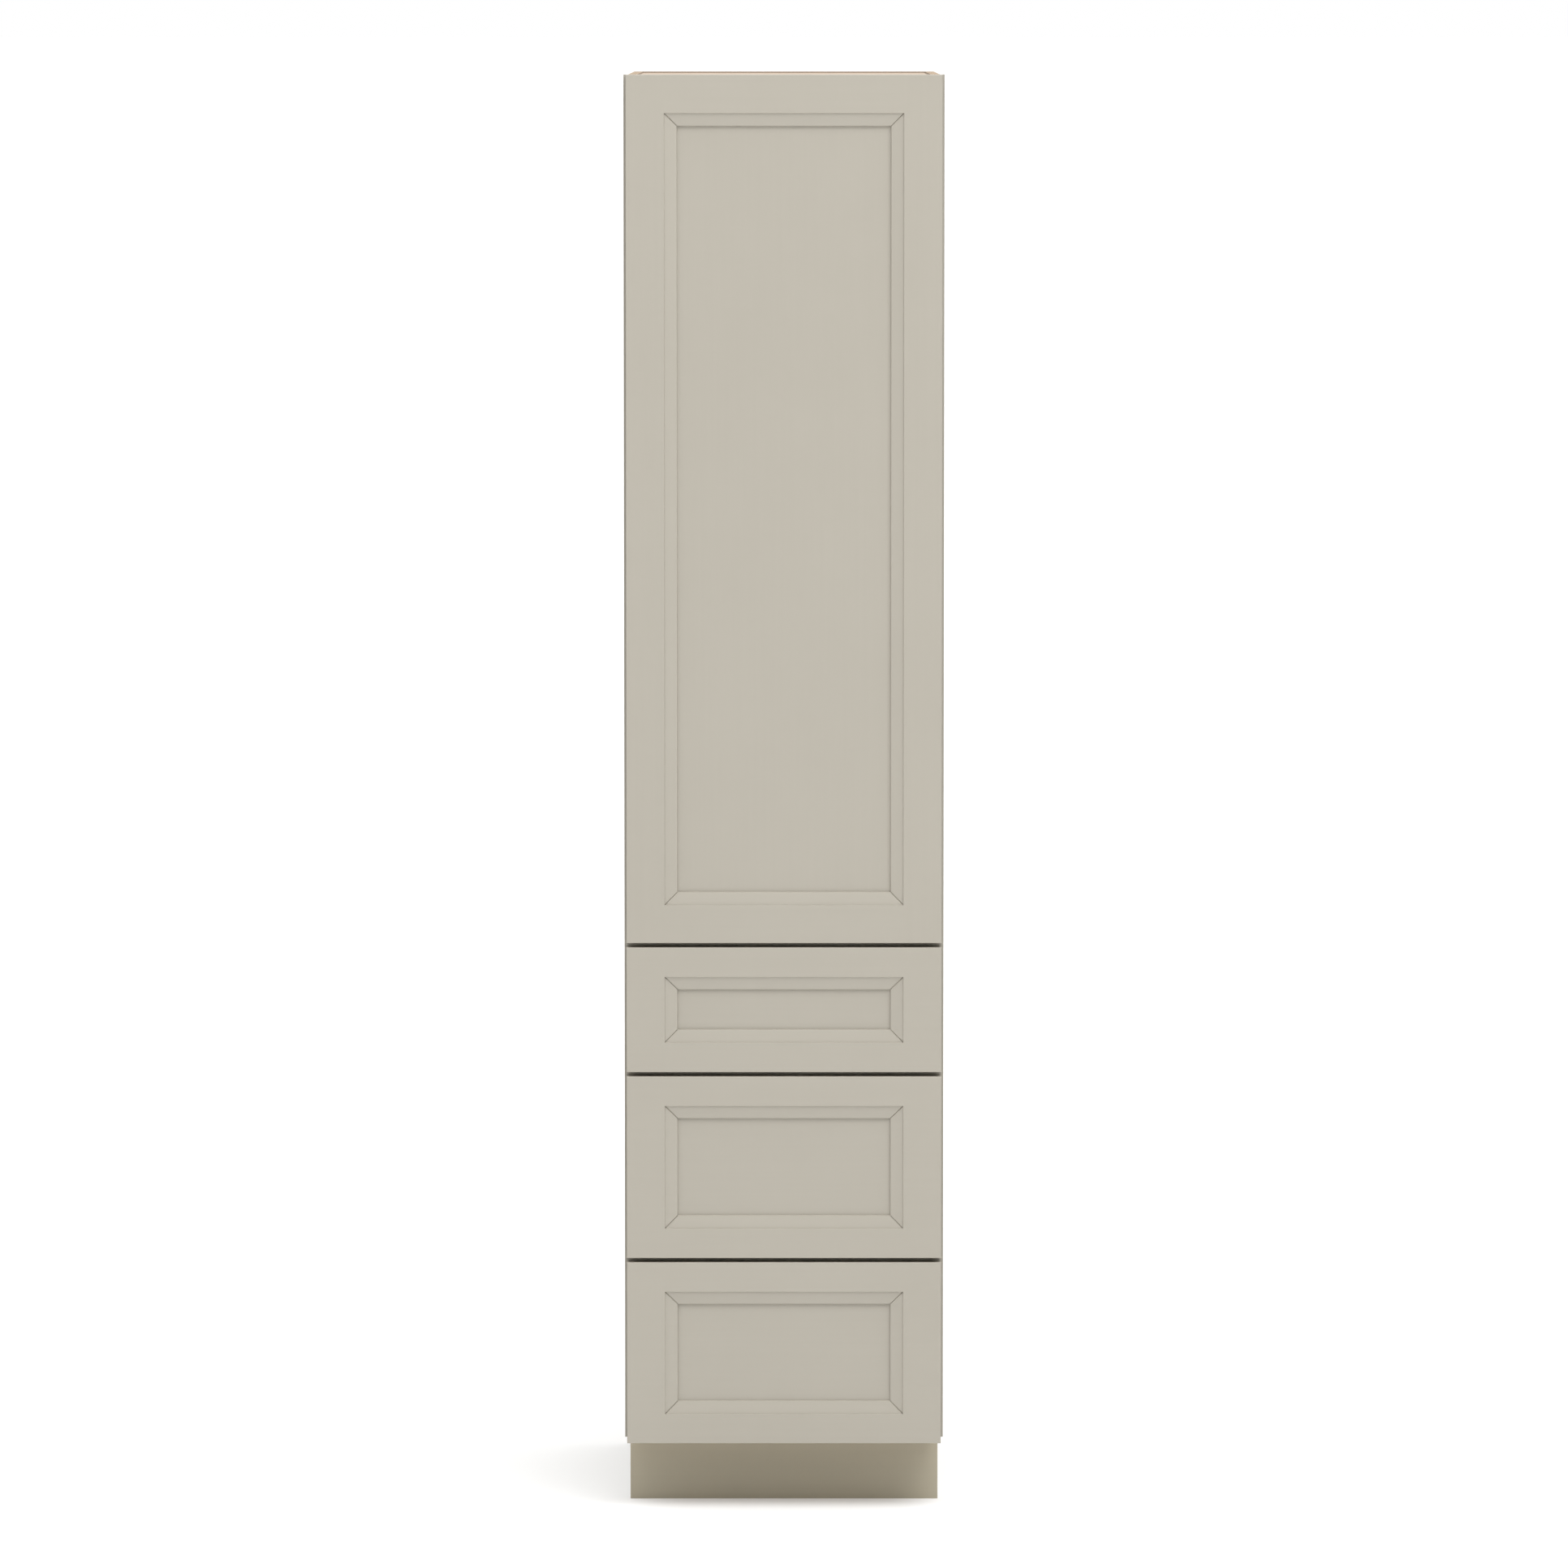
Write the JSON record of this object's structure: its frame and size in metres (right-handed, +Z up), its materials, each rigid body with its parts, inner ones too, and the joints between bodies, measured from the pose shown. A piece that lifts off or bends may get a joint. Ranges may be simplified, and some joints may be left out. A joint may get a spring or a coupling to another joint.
{
  "type": "pantry cabinet",
  "caption": "Tall painted face-frame pantry cabinet: one full-overlay door over adjustable shelves, drawers on undermount slides below, recessed toe kick, no handles.",
  "frame": {"origin": "on the floor, under the centre of the cabinet's outline", "axes": "+Z up, +Y towards the wall, +X to the right of a person who faces the door"},
  "size_m": [0.4572, 0.631, 2.0574],
  "materials": {
    "paint": "satin paint on wood",
    "ply": "clear-coated maple plywood",
    "maple": "clear-coated solid maple",
    "nickel": "nickel plate",
    "zinc": "zinc plate",
    "bumper": "clear soft plastic"
  },
  "bodies": {
    "cabinet": {"side_panel_left": "ply", "side_panel_right": "ply", "top_panel": "ply", "divider_deck": "ply", "bottom_panel": "ply", "back_panel": "ply", "hanging_rails": "ply", "toe_kick_board": "ply", "toe_kick_skin": "paint", "frame_stile_left": "paint", "frame_stile_right": "paint", "frame_rail_top": "paint", "frame_rail_upper": "paint", "frame_rail_middle": "paint", "frame_rail_lower": "paint", "frame_rail_bottom": "paint", "shelf_1": "ply", "shelf_2": "ply", "shelf_3": "ply", "shelf_4": "ply", "shelf_pins": "nickel", "hinge_arms": "nickel", "slide_spacers": "ply", "cabinet_runners": "zinc", "cabinet_screws": "nickel", "drawer_bumpers": "bumper"},
    "door": {"door_stile_left": "paint", "door_stile_right": "paint", "door_rail_top": "paint", "door_rail_bottom": "paint", "door_panel": "paint", "hinge_cups": "nickel", "hinge_pins": "nickel", "hinge_cup_screws": "nickel", "door_bumpers": "bumper"},
    "drawer_1": {"drawer_1_front_frame": "paint", "drawer_1_front_panel": "paint", "drawer_1_box_sides": "maple", "drawer_1_box_front": "maple", "drawer_1_box_back": "maple", "drawer_1_box_bottom": "ply", "drawer_1_drawer_runners": "zinc"},
    "drawer_1_slide": {"drawer_1_slide_members": "zinc"},
    "drawer_2": {"drawer_2_front_frame": "paint", "drawer_2_front_panel": "paint", "drawer_2_box_sides": "maple", "drawer_2_box_front": "maple", "drawer_2_box_back": "maple", "drawer_2_box_bottom": "ply", "drawer_2_drawer_runners": "zinc"},
    "drawer_2_slide": {"drawer_2_slide_members": "zinc"},
    "drawer_3": {"drawer_3_front_frame": "paint", "drawer_3_front_panel": "paint", "drawer_3_box_sides": "maple", "drawer_3_box_front": "maple", "drawer_3_box_back": "maple", "drawer_3_box_bottom": "ply", "drawer_3_drawer_runners": "zinc"},
    "drawer_3_slide": {"drawer_3_slide_members": "zinc"}
  },
  "joints": [
    {"name": "door_hinge", "type": "hinge", "parent": "cabinet", "child": "door", "pos_m": [-0.21923, -0.30528, 1.43755], "axis": [0, 0, -1], "range_deg": [0, 105]},
    {"name": "drawer_1_travel", "type": "slide", "parent": "cabinet", "child": "drawer_1", "axis": [0, -1, 0], "range_m": [0, 0.508]},
    {"name": "drawer_1_member_travel", "type": "slide", "parent": "cabinet", "child": "drawer_1_slide", "axis": [0, -1, 0], "range_m": [0, 0.254]},
    {"name": "drawer_2_travel", "type": "slide", "parent": "cabinet", "child": "drawer_2", "axis": [0, -1, 0], "range_m": [0, 0.508]},
    {"name": "drawer_2_member_travel", "type": "slide", "parent": "cabinet", "child": "drawer_2_slide", "axis": [0, -1, 0], "range_m": [0, 0.254]},
    {"name": "drawer_3_travel", "type": "slide", "parent": "cabinet", "child": "drawer_3", "axis": [0, -1, 0], "range_m": [0, 0.508]},
    {"name": "drawer_3_member_travel", "type": "slide", "parent": "cabinet", "child": "drawer_3_slide", "axis": [0, -1, 0], "range_m": [0, 0.254]}
  ],
  "couplings": [
    {"joint": "drawer_1_member_travel", "follows": "drawer_1_travel", "ratio": 0.5},
    {"joint": "drawer_2_member_travel", "follows": "drawer_2_travel", "ratio": 0.5},
    {"joint": "drawer_3_member_travel", "follows": "drawer_3_travel", "ratio": 0.5}
  ]
}
